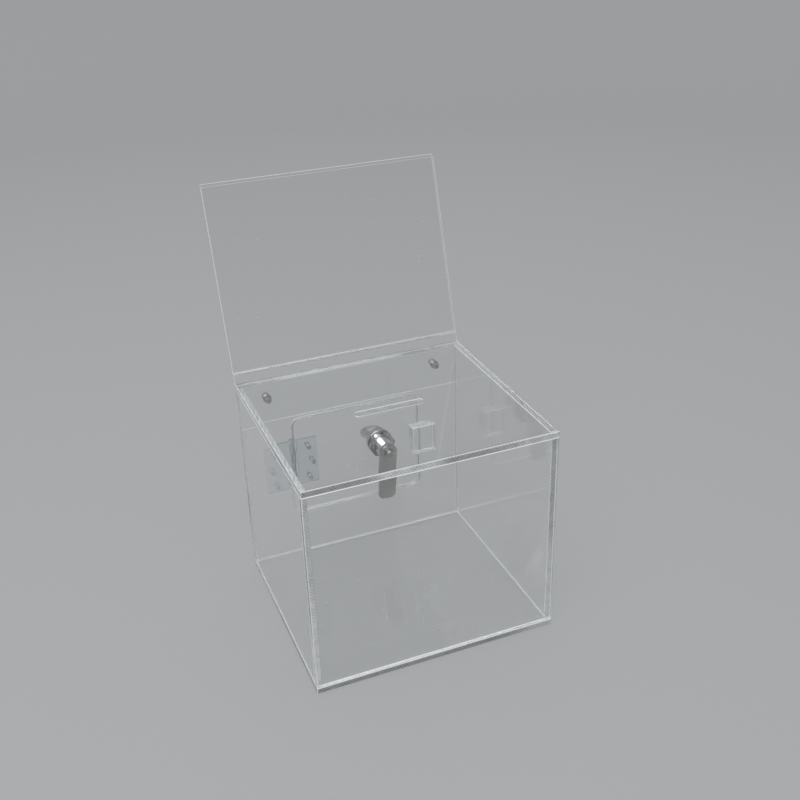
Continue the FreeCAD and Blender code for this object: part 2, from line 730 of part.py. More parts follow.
WAFER_ROOM = "(wafer_thickness + 2 * plug_play)"
plug = lock_body("lock_plug")
disc(plug, "plug_head_diameter", "-lock_head_height", "plug_head_height")
disc(plug, "plug_diameter", PLUG_SEAT, f"barrel_length - {PLUG_SEAT}")
square_end = new_sketch(plug, "barrel_length")
rectangle(square_end, "plug_square", "plug_square")
pad(plug, square_end, f"{CAM_WASHER_SEAT} - barrel_length - plug_play")
keyway = new_sketch(plug, "keyway_depth - lock_head_height")
rectangle(keyway, "key_height + 2 * key_play", "key_thickness + 2 * key_play")
pocket(plug, keyway, "keyway_depth")
thread = new_sketch(plug, CAM_WASHER_SEAT)
circle(thread, "cam_screw_diameter + 2 * thread_clearance")
pocket(plug, thread, "cam_screw_length")
wafer_slot = new_sketch(plug, plane="YZ_Plane")
rectangle(wafer_slot, "wafer_width + 2 * plug_play", WAFER_ROOM, "0", "wafer_start - lock_head_height")
wafer_cut = pocket(plug, wafer_slot)
repeat(plug, wafer_cut, "PartDesign::LinearPattern", "Z_Axis", WAFERS, Length=f"{WAFERS - 1} * wafer_pitch")

wafers = lock_body("lock_wafers")
for wafer in range(WAFERS):
    wafer_foot = f"wafer_start - lock_head_height + {wafer} * wafer_pitch - wafer_thickness / 2"
    wafer_outline = new_sketch(wafers, wafer_foot)
    flatted_circle(wafer_outline, "plug_diameter - 2 * plug_play", "wafer_width")
    rectangle(wafer_outline, "key_thickness + 2 * key_play", "key_height + 2 * key_play")
    pad(wafers, wafer_outline, "wafer_thickness")
wafers.Placement.Rotation = FACING_IN * FreeCAD.Rotation(FreeCAD.Vector(0, 0, 1), 90)

key = lock_body("lock_key")
BOW_MIDDLE = "(-lock_head_height - key_neck - key_bow / 2)"
blade = new_sketch(key, plane="XZ_Plane")
rectangle(blade, "key_height", f"key_length - lock_head_height - {BOW_MIDDLE}", "0",
          f"(key_length - lock_head_height + {BOW_MIDDLE}) / 2")
pad(key, blade, "key_thickness", both_ways=True)
bow = new_sketch(key, plane="XZ_Plane")
circle(bow, "key_bow", "0", BOW_MIDDLE)
pad(key, bow, "key_thickness", both_ways=True)
ring_hole = new_sketch(key, plane="XZ_Plane")
circle(ring_hole, "key_hole", "0", f"{BOW_MIDDLE} - key_bow / 4")
pocket(key, ring_hole)

stop = lock_body("stop_washer")
stop_outline = new_sketch(stop, "barrel_length")
circle(stop_outline, "barrel_diameter - 2 * plug_play")
rectangle(stop_outline, "plug_square + 2 * plug_play", "plug_square + 2 * plug_play")
pad(stop, stop_outline, "stop_thickness")
notch = new_sketch(stop, "barrel_length + stop_thickness")
ring_sector(notch, STOP_RADIUS, "barrel_diameter / 2 + lug_width", f"{LUG_START} - lock_travel - stop_margin",
            f"{LUG_END} + stop_margin")
pocket(stop, notch, "stop_thickness")

arm = lock_body("cam_arm")
half_width = number("arm_width / 2")
tip = number("arm_length")
arm_outline = new_sketch(arm, ARM_SEAT)
upper_edge = add_line(arm_outline, (0, half_width), (tip, half_width))
tip_edge = add_line(arm_outline, (tip, half_width), (tip, -half_width))
lower_edge = add_line(arm_outline, (tip, -half_width), (0, -half_width))
round_end = add_arc(arm_outline, (0, 0), half_width, 90, 270)
hold(arm_outline, "Tangent", round_end, 1, upper_edge, 1)
hold(arm_outline, "Coincident", upper_edge, 2, tip_edge, 1)
hold(arm_outline, "Coincident", tip_edge, 2, lower_edge, 1)
hold(arm_outline, "Tangent", lower_edge, 2, round_end, 2)
hold(arm_outline, "Horizontal", upper_edge)
hold(arm_outline, "Vertical", tip_edge)
hold(arm_outline, "Horizontal", lower_edge)
hold(arm_outline, "Coincident", round_end, 3, -1, 1)
hold(arm_outline, "Radius", round_end, size="arm_width / 2")
hold(arm_outline, "DistanceX", -1, 1, tip_edge, 1, size="arm_length")
pad(arm, arm_outline, "arm_thickness")
round_edges(arm, "arm_corner",
            lambda edge: abs(edge.BoundBox.XMin - tip) < CLOSE and edge.BoundBox.ZLength > CLOSE)
square_hole = new_sketch(arm, CAM_WASHER_SEAT)
square_hole.AttachmentOffset.Rotation = FreeCAD.Rotation(FreeCAD.Vector(0, 0, 1), number("arm_droop"))
rectangle(square_hole, "plug_square + 2 * plug_play", "plug_square + 2 * plug_play")
pocket(arm, square_hole, "arm_thickness")
hanging = FreeCAD.Rotation(FreeCAD.Vector(0, 0, 1), -number("lock_travel + arm_droop"))
arm.Placement.Rotation = FACING_IN * hanging

screw_bore = "cam_screw_diameter + 2 * screw_clearance"
cam_washer = lock_body("cam_washer")
disc(cam_washer, "cam_washer_diameter", CAM_WASHER_SEAT, "cam_washer_thickness", screw_bore)

star = lock_body("star_washer")
disc(star, "star_diameter", STAR_SEAT, "star_thickness", screw_bore)
tooth_gap = new_sketch(star, f"{STAR_SEAT} + star_thickness")
rectangle(tooth_gap, "star_notch", "star_notch", "star_diameter / 2")
gap_cut = pocket(star, tooth_gap, "star_thickness")
repeat(star, gap_cut, "PartDesign::PolarPattern", "Z_Axis", STAR_TEETH)

cam_screw = lock_body("cam_screw")
disc(cam_screw, "cam_head_diameter", CAM_HEAD_SEAT, "cam_head_height")
CAM_HEAD_FACE = f"({CAM_HEAD_SEAT} + cam_head_height)"
round_edges(cam_screw, "cam_head_round", at_height(CAM_HEAD_FACE))
SHANK_END = f"({CAM_WASHER_SEAT} - cam_screw_length + plug_play)"
disc(cam_screw, "cam_screw_diameter", SHANK_END, f"{CAM_HEAD_SEAT} - {SHANK_END}")
recess = new_sketch(cam_screw, CAM_HEAD_FACE)
rectangle(recess, "recess_length", "recess_width")
recess_cut = pocket(cam_screw, recess, "recess_depth")
repeat(cam_screw, recess_cut, "PartDesign::PolarPattern", "Z_Axis", 4)

# Every object must have been worked out without a fault before any piece is written.
doc.recompute()
for item in doc.Objects:
    if "Invalid" in item.State or "Error" in item.State:
        raise RuntimeError(f"{item.Label} is not valid: {item.State}")
for piece in pieces:
    if piece.Shape.isNull() or not piece.Shape.isValid() or not piece.Shape.Solids:
        raise RuntimeError(f"{piece.Label} has no valid solid")

os.makedirs("parts", exist_ok=True)
for piece in pieces:
    piece.Shape.exportStep(f"parts/{piece.Label}.step")
    print(f"{piece.Label}: {len(piece.Shape.Solids)} solids, {piece.Shape.Volume:.1f} mm3")
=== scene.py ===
import bpy
import bmesh
import math
from mathutils import Matrix, Vector


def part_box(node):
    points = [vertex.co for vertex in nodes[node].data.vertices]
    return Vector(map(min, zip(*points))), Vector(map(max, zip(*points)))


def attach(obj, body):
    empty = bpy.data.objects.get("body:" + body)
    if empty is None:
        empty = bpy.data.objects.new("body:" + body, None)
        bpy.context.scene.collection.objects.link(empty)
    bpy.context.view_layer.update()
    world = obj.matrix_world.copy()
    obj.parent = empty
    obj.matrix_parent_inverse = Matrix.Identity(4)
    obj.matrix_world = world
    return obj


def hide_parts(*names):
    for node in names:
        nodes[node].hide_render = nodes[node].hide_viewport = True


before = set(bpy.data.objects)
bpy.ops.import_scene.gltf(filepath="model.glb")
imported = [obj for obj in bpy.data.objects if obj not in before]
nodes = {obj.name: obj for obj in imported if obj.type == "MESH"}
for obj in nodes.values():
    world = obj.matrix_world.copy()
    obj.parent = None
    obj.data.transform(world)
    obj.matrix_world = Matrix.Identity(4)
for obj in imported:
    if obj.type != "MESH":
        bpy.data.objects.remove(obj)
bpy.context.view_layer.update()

scene = bpy.context.scene
mm = 0.001
print("frame loaded:", len(nodes), "nodes")


# node building for materials

number = "NodeSocketFloat"
colour = "NodeSocketColor"
direction = "NodeSocketVector"


def addNode(tree, kind, **values):  # a value goes to the input of that name, or else to the node itself
    node = tree.nodes.new(kind)
    for name, value in values.items():
        label = name.replace("_", " ")
        if label in node.inputs:
            node.inputs[label].default_value = value
        else:
            setattr(node, name, value)
    return node


def newGroup(name, inputs, outputs):
    group = bpy.data.node_groups.new(name, "ShaderNodeTree")
    for side, sockets in (("INPUT", inputs), ("OUTPUT", outputs)):
        for label, kind in sockets.items():
            group.interface.new_socket(label, in_out=side, socket_type=kind)
    return group, group.nodes.new("NodeGroupInput"), group.nodes.new("NodeGroupOutput")


handlingLook = {"smearDetail": 6.0, "smearRough": 0.62, "smearBend": 0.8, "hairTurn": (0.3, 0.5, 0.8),
                "hairStretch": (1.0, 18.0, 3.0), "hairScale": 90.0, "hairDetail": 3.0, "faintest": 0.22,
                "fullest": 0.5, "dustScale": 80.0, "dustSize": 0.03, "dustRough": 0.5}


def makeHandlingGroup():  # faint wipe marks, hairlines and a few specks of dust on a clear face
    look = handlingLook
    group, given, made = newGroup("handlingMarks",
                                  {"Scale": number, "Rough Low": number, "Rough High": number},
                                  {"Roughness": number, "Height": number})
    link = group.links.new
    coord = addNode(group, "ShaderNodeTexCoord")
    smear = addNode(group, "ShaderNodeTexNoise", Detail=look["smearDetail"], Roughness=look["smearRough"],
                    Distortion=look["smearBend"])
    link(coord.outputs["Object"], smear.inputs["Vector"])
    link(given.outputs["Scale"], smear.inputs["Scale"])
    stretch = addNode(group, "ShaderNodeMapping", Rotation=look["hairTurn"], Scale=look["hairStretch"])
    link(coord.outputs["Object"], stretch.inputs["Vector"])
    hairline = addNode(group, "ShaderNodeTexNoise", Scale=look["hairScale"], Detail=look["hairDetail"])
    link(stretch.outputs["Vector"], hairline.inputs["Vector"])
    both = addNode(group, "ShaderNodeMath", operation="MULTIPLY")
    link(smear.outputs["Fac"], both.inputs[0])
    link(hairline.outputs["Fac"], both.inputs[1])
    spread = addNode(group, "ShaderNodeMapRange", From_Min=look["faintest"], From_Max=look["fullest"])
    link(both.outputs["Value"], spread.inputs["Value"])
    link(given.outputs["Rough Low"], spread.inputs["To Min"])
    link(given.outputs["Rough High"], spread.inputs["To Max"])
    specks = addNode(group, "ShaderNodeTexVoronoi", Scale=look["dustScale"])
    link(coord.outputs["Object"], specks.inputs["Vector"])
    onSpeck = addNode(group, "ShaderNodeMath", operation="LESS_THAN")
    onSpeck.inputs[1].default_value = look["dustSize"]
    link(specks.outputs["Distance"], onSpeck.inputs[0])
    dusty = addNode(group, "ShaderNodeMath", operation="MULTIPLY_ADD")
    dusty.inputs[1].default_value = look["dustRough"]
    link(onSpeck.outputs["Value"], dusty.inputs[0])
    link(spread.outputs["Result"], dusty.inputs[2])
    link(dusty.outputs["Value"], made.inputs["Roughness"])
    link(hairline.outputs["Fac"], made.inputs["Height"])
    return group


sawLook = {"slant": (0.5, 0.6, 0.5), "bend": 1.8, "bendDetail": 2.0, "bendScale": 2.0, "mottleScale": 140.0,
           "mottleDetail": 5.0, "mottleRough": 0.7, "bladeShare": 0.3, "paleUpTo": 0.55, "dullFrom": 1.0,
           "paleRough": 0.28, "dullRough": 0.6}


def makeSawGroup():  # slanting blade marks and mottling on a cut edge
    look = sawLook
    group, given, made = newGroup("sawMarks", {"Pale": colour, "Dull": colour, "Scale": number},
                                  {"Color": colour, "Roughness": number, "Height": number})
    link = group.links.new
    coord = addNode(group, "ShaderNodeTexCoord")
    slant = addNode(group, "ShaderNodeMapping", Rotation=look["slant"])
    link(coord.outputs["Object"], slant.inputs["Vector"])
    blade = addNode(group, "ShaderNodeTexWave", Distortion=look["bend"], Detail=look["bendDetail"],
                    Detail_Scale=look["bendScale"])
    link(slant.outputs["Vector"], blade.inputs["Vector"])
    link(given.outputs["Scale"], blade.inputs["Scale"])
    mottle = addNode(group, "ShaderNodeTexNoise", Scale=look["mottleScale"], Detail=look["mottleDetail"],
                     Roughness=look["mottleRough"])
    link(coord.outputs["Object"], mottle.inputs["Vector"])
    blend = addNode(group, "ShaderNodeMath", operation="MULTIPLY_ADD")
    blend.inputs[1].default_value = look["bladeShare"]
    link(blade.outputs["Fac"], blend.inputs[0])
    link(mottle.outputs["Fac"], blend.inputs[2])
    mask = addNode(group, "ShaderNodeMapRange", From_Min=look["paleUpTo"], From_Max=look["dullFrom"])
    link(blend.outputs["Value"], mask.inputs["Value"])
    tone = addNode(group, "ShaderNodeMix", data_type="RGBA")
    link(mask.outputs["Result"], tone.inputs["Factor"])
    link(given.outputs["Pale"], tone.inputs["A"])
    link(given.outputs["Dull"], tone.inputs["B"])
    rough = addNode(group, "ShaderNodeMapRange", To_Min=look["paleRough"], To_Max=look["dullRough"])
    link(mask.outputs["Result"], rough.inputs["Value"])
    link(tone.outputs["Result"], made.inputs["Color"])
    link(rough.outputs["Result"], made.inputs["Roughness"])
    link(blend.outputs["Value"], made.inputs["Height"])
    return group


wearLook = {"rubDetail": 6.0, "rubRough": 0.6, "rubLow": 0.3, "rubHigh": 0.7, "cloudScale": 70.0,
            "cloudDetail": 3.0}


def makeMetalGroup():  # rubbing marks and a slight change of tone on plated metal
    look = wearLook
    group, given, made = newGroup("platedWear",
                                  {"Bright": colour, "Worn": colour, "Scale": number, "Stretch": direction,
                                   "Rough Low": number, "Rough High": number},
                                  {"Color": colour, "Roughness": number, "Height": number})
    link = group.links.new
    coord = addNode(group, "ShaderNodeTexCoord")
    stretch = addNode(group, "ShaderNodeMapping")
    link(coord.outputs["Object"], stretch.inputs["Vector"])
    link(given.outputs["Stretch"], stretch.inputs["Scale"])
    rub = addNode(group, "ShaderNodeTexNoise", Detail=look["rubDetail"], Roughness=look["rubRough"])
    link(stretch.outputs["Vector"], rub.inputs["Vector"])
    link(given.outputs["Scale"], rub.inputs["Scale"])
    cloud = addNode(group, "ShaderNodeTexNoise", Scale=look["cloudScale"], Detail=look["cloudDetail"])
    link(coord.outputs["Object"], cloud.inputs["Vector"])
    tone = addNode(group, "ShaderNodeMix", data_type="RGBA")
    link(cloud.outputs["Fac"], tone.inputs["Factor"])
    link(given.outputs["Bright"], tone.inputs["A"])
    link(given.outputs["Worn"], tone.inputs["B"])
    rough = addNode(group, "ShaderNodeMapRange", From_Min=look["rubLow"], From_Max=look["rubHigh"])
    link(rub.outputs["Fac"], rough.inputs["Value"])
    link(given.outputs["Rough Low"], rough.inputs["To Min"])
    link(given.outputs["Rough High"], rough.inputs["To Max"])
    link(tone.outputs["Result"], made.inputs["Color"])
    link(rough.outputs["Result"], made.inputs["Roughness"])
    link(rub.outputs["Fac"], made.inputs["Height"])
    return group


handlingMarks = makeHandlingGroup()
sawMarks = makeSawGroup()
platedWear = makeMetalGroup()

acrylicIor = 1.49
bumpDepth = {"clear": 0.1 * mm, "sawn": 0.3 * mm, "metal": 0.1 * mm}


def newMaterial(name):
    material = bpy.data.materials.new(name)
    material.use_nodes = True
    return material, material.node_tree, material.node_tree.nodes["Principled BSDF"]


def showMixed(tree, share, first, second):  # the material shows first, and as much of second as share says
    mixed = addNode(tree, "ShaderNodeMixShader")
    tree.links.new(share, mixed.inputs["Fac"])
    tree.links.new(first, mixed.inputs[1])
    tree.links.new(second, mixed.inputs[2])
    tree.links.new(mixed.outputs["Shader"], tree.nodes["Material Output"].inputs["Surface"])


def addBump(tree, height, strength, distance, surface):
    bump = addNode(tree, "ShaderNodeBump", Strength=strength, Distance=distance)
    tree.links.new(height, bump.inputs["Height"])
    tree.links.new(bump.outputs["Normal"], surface.inputs["Normal"])


def letLampsThrough(tree, surface, tint):  # lamps shine through a clear sheet, so its shadow stays faint
    path = addNode(tree, "ShaderNodeLightPath")
    either = addNode(tree, "ShaderNodeMath", operation="MAXIMUM")
    clear = addNode(tree, "ShaderNodeBsdfTransparent", Color=tint)
    tree.links.new(path.outputs["Is Shadow Ray"], either.inputs[0])
    tree.links.new(path.outputs["Is Diffuse Ray"], either.inputs[1])
    showMixed(tree, either.outputs["Value"], surface.outputs["BSDF"], clear.outputs["BSDF"])


def clearMaterial(name, look):
    material, tree, surface = newMaterial(name)
    surface.inputs["Base Color"].default_value = look["tint"]
    surface.inputs["IOR"].default_value = acrylicIor
    surface.inputs["Transmission Weight"].default_value = look["clear"]
    marks = addNode(tree, "ShaderNodeGroup", node_tree=handlingMarks, Scale=look["markScale"],
                    Rough_Low=look["roughLow"], Rough_High=look["roughHigh"])
    tree.links.new(marks.outputs["Roughness"], surface.inputs["Roughness"])
    addBump(tree, marks.outputs["Height"], look["bump"], bumpDepth["clear"], surface)
    letLampsThrough(tree, surface, look["shade"])
    return material


def sawnMaterial(name, look):
    material, tree, surface = newMaterial(name)
    surface.inputs["IOR"].default_value = acrylicIor
    surface.inputs["Transmission Weight"].default_value = look["glow"]
    marks = addNode(tree, "ShaderNodeGroup", node_tree=sawMarks, Pale=look["pale"], Dull=look["dull"],
                    Scale=look["markScale"])
    tree.links.new(marks.outputs["Color"], surface.inputs["Base Color"])
    tree.links.new(marks.outputs["Roughness"], surface.inputs["Roughness"])
    addBump(tree, marks.outputs["Height"], look["bump"], bumpDepth["sawn"], surface)
    letLampsThrough(tree, surface, look["shade"])
    return material


def metalMaterial(name, look):
    material, tree, surface = newMaterial(name)
    surface.inputs["Metallic"].default_value = 1.0
    wear = addNode(tree, "ShaderNodeGroup", node_tree=platedWear, Bright=look["bright"], Worn=look["worn"],
                   Scale=look["markScale"], Stretch=look["stretch"], Rough_Low=look["roughLow"],
                   Rough_High=look["roughHigh"])
    tree.links.new(wear.outputs["Color"], surface.inputs["Base Color"])
    tree.links.new(wear.outputs["Roughness"], surface.inputs["Roughness"])
    addBump(tree, wear.outputs["Height"], look["bump"], bumpDepth["metal"], surface)
    return material


acrylicFace = clearMaterial("acrylicFace", {
    "tint": (0.985, 0.99, 0.99, 1), "shade": (0.92, 0.925, 0.925, 1), "markScale": 28.0, "clear": 1.0,
    "roughLow": 0.0, "roughHigh": 0.02, "bump": 0.01})
acrylicEdge = sawnMaterial("acrylicEdge", {
    "pale": (0.93, 0.945, 0.95, 1), "dull": (0.4, 0.43, 0.44, 1), "shade": (0.75, 0.77, 0.77, 1),
    "markScale": 160.0, "glow": 0.62, "bump": 0.4})
# the broken corners are frosted, and painted near-white and nearly opaque as a highlight along each edge
acrylicRimPaintedHighlight = sawnMaterial("acrylicRimPaintedHighlight", {
    "pale": (0.96, 0.97, 0.975, 1), "dull": (0.8, 0.82, 0.83, 1), "shade": (0.75, 0.77, 0.77, 1),
    "markScale": 240.0, "glow": 0.1, "bump": 0.3})
hingePlastic = clearMaterial("hingePlastic", {
    "tint": (0.88, 0.93, 0.96, 1), "shade": (0.8, 0.82, 0.82, 1), "markScale": 120.0, "clear": 0.9,
    "roughLow": 0.02, "roughHigh": 0.14, "bump": 0.12})
fastenerSteel = metalMaterial("fastenerSteel", {
    "bright": (0.68, 0.68, 0.67, 1), "worn": (0.4, 0.4, 0.4, 1), "markScale": 500.0, "stretch": (1, 1, 1),
    "roughLow": 0.1, "roughHigh": 0.28, "bump": 0.1})
lockPlate = metalMaterial("lockPlate", {
    "bright": (0.74, 0.74, 0.75, 1), "worn": (0.5, 0.5, 0.51, 1), "markScale": 260.0, "stretch": (1, 1, 1),
    "roughLow": 0.1, "roughHigh": 0.26, "bump": 0.08})
camSteel = metalMaterial("camSteel", {
    "bright": (0.58, 0.57, 0.56, 1), "worn": (0.36, 0.355, 0.35, 1), "markScale": 220.0,
    "stretch": (1, 1, 9), "roughLow": 0.09, "roughHigh": 0.24, "bump": 0.1})
keyNickel = metalMaterial("keyNickel", {
    "bright": (0.74, 0.72, 0.68, 1), "worn": (0.5, 0.48, 0.45, 1), "markScale": 320.0, "stretch": (1, 6, 1),
    "roughLow": 0.14, "roughHigh": 0.34, "bump": 0.12})
print("materials made")


# meshes copied from the frame, with worked edges

meshLook = {"weld": 1e-6, "sliver": 2e-6, "flatWithin": math.radians(0.4), "sharpFrom": math.radians(40.0),
            "smoothUnder": math.radians(35.0), "smoothTurned": math.radians(38.0), "roundProfile": 0.5}


def mergedCopy(node):
    solid = bmesh.new()
    solid.from_mesh(nodes[node].data)
    bmesh.ops.remove_doubles(solid, verts=solid.verts, dist=meshLook["weld"])
    bmesh.ops.dissolve_limit(solid, angle_limit=meshLook["flatWithin"], verts=solid.verts, edges=solid.edges)
    return solid


def drawIn(solid, gap):  # a hair of air, so that touching faces don't share a plane
    solid.normal_update()
    moves = [(v, v.normal * v.calc_shell_factor() * gap) for v in solid.verts]
    for v, move in moves:
        v.co -= move


def breakEdges(solid, width, segments=1, material=-1):
    sharp = [edge for edge in solid.edges
             if len(edge.link_faces) == 2 and edge.calc_face_angle(0.0) > meshLook["sharpFrom"]]
    bmesh.ops.bevel(solid, geom=sharp, offset=width, offset_type="OFFSET", segments=segments,
                    profile=meshLook["roundProfile"], affect="EDGES", clamp_overlap=True, material=material)


def clearSlivers(solid):
    sliver = meshLook["sliver"]
    bmesh.ops.remove_doubles(solid, verts=solid.verts, dist=sliver)
    bmesh.ops.dissolve_degenerate(solid, edges=solid.edges, dist=sliver)
    bmesh.ops.triangulate(solid, faces=[face for face in solid.faces if len(face.verts) > 4])
    bmesh.ops.dissolve_degenerate(solid, edges=solid.edges, dist=sliver)


def shadeSmooth(solid, smoothUnder):
    for edge in solid.edges:
        edge.smooth = edge.calc_face_angle(0.0) < smoothUnder
    for face in solid.faces:
        face.smooth = True


def addPiece(name, mesh, body, node):
    piece = bpy.data.objects.new(name, mesh)
    scene.collection.objects.link(piece)
    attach(piece, body)
    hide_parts(node)


def finishPiece(name, solid, body, materials, node):
    clearSlivers(solid)
    solid.normal_update()
    shadeSmooth(solid, meshLook["smoothUnder"])
    mesh = bpy.data.meshes.new(name)
    solid.to_mesh(mesh)
    solid.free()
    for material in materials:
        mesh.materials.append(material)
    addPiece(name, mesh, body, node)


# clear sheets: polished faces, sawn cut edges, and frosted broken corners painted near-white as a highlight

sheetLook = {"gap": 0.04 * mm, "edgeBreak": 0.5 * mm, "faceOn": 0.9}


def cutSheet(name, node, body, edgeBreak, cutLook, isCut):
    solid = mergedCopy(node)
    drawIn(solid, sheetLook["gap"])
    solid.normal_update()
    for face in solid.faces:
        face.material_index = 1 if isCut(face) else 0
    # the broken corners take the rim material, which is a painted highlight
    breakEdges(solid, edgeBreak, material=2)
    finishPiece(name, solid, body, [acrylicFace, cutLook, acrylicRimPaintedHighlight], node)


def acrossFaces(axis):
    return lambda face: abs(face.normal[axis]) < sheetLook["faceOn"]


flatSheets = [("clearBase", "base_panel", "box", 2), ("clearTop", "top_panel", "box", 2),
              ("clearFront", "front_panel", "box", 1), ("clearBack", "back_panel", "box", 1),
              ("clearLeft", "left_panel", "box", 0), ("clearRight", "right_panel", "box", 0),
              ("clearDoor", "access_door", "door", 1), ("clearStrike", "strike_block", "box", 1)]
for name, node, body, axis in flatSheets:
    cutSheet(name, node, body, sheetLook["edgeBreak"], acrylicEdge, acrossFaces(axis))

signLook = {"lean": math.radians(17.0), "edgeBreak": 0.2 * mm, "sideOn": 0.5, "endOn": 0.6, "under": -0.995,
            "faceOn": 0.99, "gluedArea": 0.001}  # glued area in square metres
upTheSign = Vector((0, math.sin(signLook["lean"]), math.cos(signLook["lean"])))
outOfSign = Vector((0, -upTheSign.z, upTheSign.y))


def signCut(face):
    atSide = abs(face.normal.x) > signLook["sideOn"]
    atTop = face.normal.dot(upTheSign) > signLook["endOn"]
    return atSide or atTop or face.normal.z < signLook["under"]


def hookCut(face):  # the hook's narrow end is glued to the sheet in front of it
    facesFront = face.normal.dot(outOfSign) > signLook["faceOn"]
    return signCut(face) or facesFront and face.calc_area() < signLook["gluedArea"]


# the front sheet's cut faces take the rim material too, which is a painted highlight
cutSheet("signFront", "sign_front_sheet", "box", signLook["edgeBreak"], acrylicRimPaintedHighlight, signCut)
cutSheet("signBack", "sign_back_sheet", "box", signLook["edgeBreak"], acrylicEdge, hookCut)
print("clear sheets made")


# hinge

hingeLook = {"gap": 0.04 * mm, "edgeBreak": 0.25 * mm, "pinRound": 0.3 * mm}
hingeLeaves = [("hingeLeafWall", "hinge_wall_leaf", "box"), ("hingeLeafDoor", "hinge_door_leaf", "door")]
for name, node, body in hingeLeaves:
    leaf = mergedCopy(node)
    drawIn(leaf, hingeLook["gap"])
    breakEdges(leaf, hingeLook["edgeBreak"])
    finishPiece(name, leaf, body, [hingePlastic], node)
pinSolid = mergedCopy("hinge_pin")
breakEdges(pinSolid, hingeLook["pinRound"], segments=2)
finishPiece("hingePin", pinSolid, "box", [fastenerSteel], "hinge_pin")
print("hinge made")


# turned work: a profile of (along Y, radius) pairs spun about Y
# a shaping rule changes the radius for threads, flats and hexagons

hair = 1e-7  # differences smaller than this don't count
stepsPerThread = 6


def joinRings(solid, first, second):  # a ring of one point is a pole
    around = max(len(first), len(second))
    faces = []
    for i in range(around):
        j = (i + 1) % around
        corners = [first[i % len(first)], first[j % len(first)]]
        corners += [second[j % len(second)], second[i % len(second)]]
        faces.append(solid.faces.new(list(dict.fromkeys(corners))))
    return faces


def turnedSolid(profile, around, shape=None, closed=False):
    solid = bmesh.new()
    rings = []
    for along, radius in profile:
        if radius == 0.0:
            rings.append([solid.verts.new((0, along, 0))])
            continue
        ring = []
        for i in range(around):
            turn = 2 * math.pi * i / around
            r = shape(along, radius, turn) if shape else radius
            ring.append(solid.verts.new((r * math.cos(turn), along, r * math.sin(turn))))
        rings.append(ring)
    for first, second in zip(rings, rings[1:]):
        joinRings(solid, first, second)
    if closed:
        joinRings(solid, rings[-1], rings[0])
    bmesh.ops.recalc_face_normals(solid, faces=solid.faces)
    return solid


def threadRun(start, end, radius, pitch):
    count = max(2, round(abs(end - start) / pitch * stepsPerThread))
    return [(start + (end - start) * i / count, radius) for i in range(count + 1)]


def threadShape(start, end, pitch, depth):
    low, high = sorted((start, end))

    def shape(along, radius, turn):
        if along < low - hair or along > high + hair:
            return radius
        fade = min(1.0, (along - low) / pitch, (high - along) / pitch)
        wave = 0.5 + 0.5 * math.cos(2 * math.pi * along / pitch - turn)
        return radius - depth * wave * fade

    return shape


def hexRadius(flats, turn):
    sixth = math.pi / 3
    return flats / 2 / math.cos((turn % sixth) - sixth / 2)


# a nut's own sizes, as shares of its width across flats or of half of it
nutLook = {"bevel": 0.12, "mouth": 0.03, "groove": 0.02, "wallFrom": 0.98, "cornerStart": 0.99,
           "cornerRise": 1.8, "around": 36}


def nutSolid(low, high, flats, bore, pitch):
    half = flats / 2
    bevel = nutLook["bevel"] * flats

    def shape(along, radius, turn):
        if radius < half * nutLook["wallFrom"]:
            return radius
        near = min(along - low, high - along)
        return min(hexRadius(flats, turn), half * nutLook["cornerStart"] + near * nutLook["cornerRise"])

    levels = [low, low + bevel / 2, low + bevel, high - bevel, high - bevel / 2, high]
    wall = [(level, half) for level in levels]
    rows = 2 * max(2, round((high - low) / pitch))
    inside = []
    for i in range(rows + 1):
        opened = nutLook["mouth"] if i in (0, rows) else nutLook["groove"] * (i % 2)
        inside.append((high - (high - low) * i / rows, bore + opened * flats))
    return turnedSolid(wall + inside, nutLook["around"], shape, closed=True)


def solidObject(name, solid):
    shadeSmooth(solid, meshLook["smoothTurned"])
    mesh = bpy.data.meshes.new(name)
    solid.to_mesh(mesh)
    solid.free()
    made = bpy.data.objects.new(name, mesh)
    scene.collection.objects.link(made)
    return made


def looseParts(node):  # low and high corner of each separate solid in a node
    solid = mergedCopy(node)
    left = set(solid.verts)
    parts = []
    while left:
        todo = [left.pop()]
        found = list(todo)
        while todo:
            for edge in todo.pop().link_edges:
                for v in edge.verts:
                    if v in left:
                        left.discard(v)
                        todo.append(v)
                        found.append(v)
        low = Vector([min(v.co[axis] for v in found) for axis in range(3)])
        high = Vector([max(v.co[axis] for v in found) for axis in range(3)])
        parts.append((low, high))
    solid.free()
    return sorted(parts, key=lambda part: (part[0].x, part[0].z))


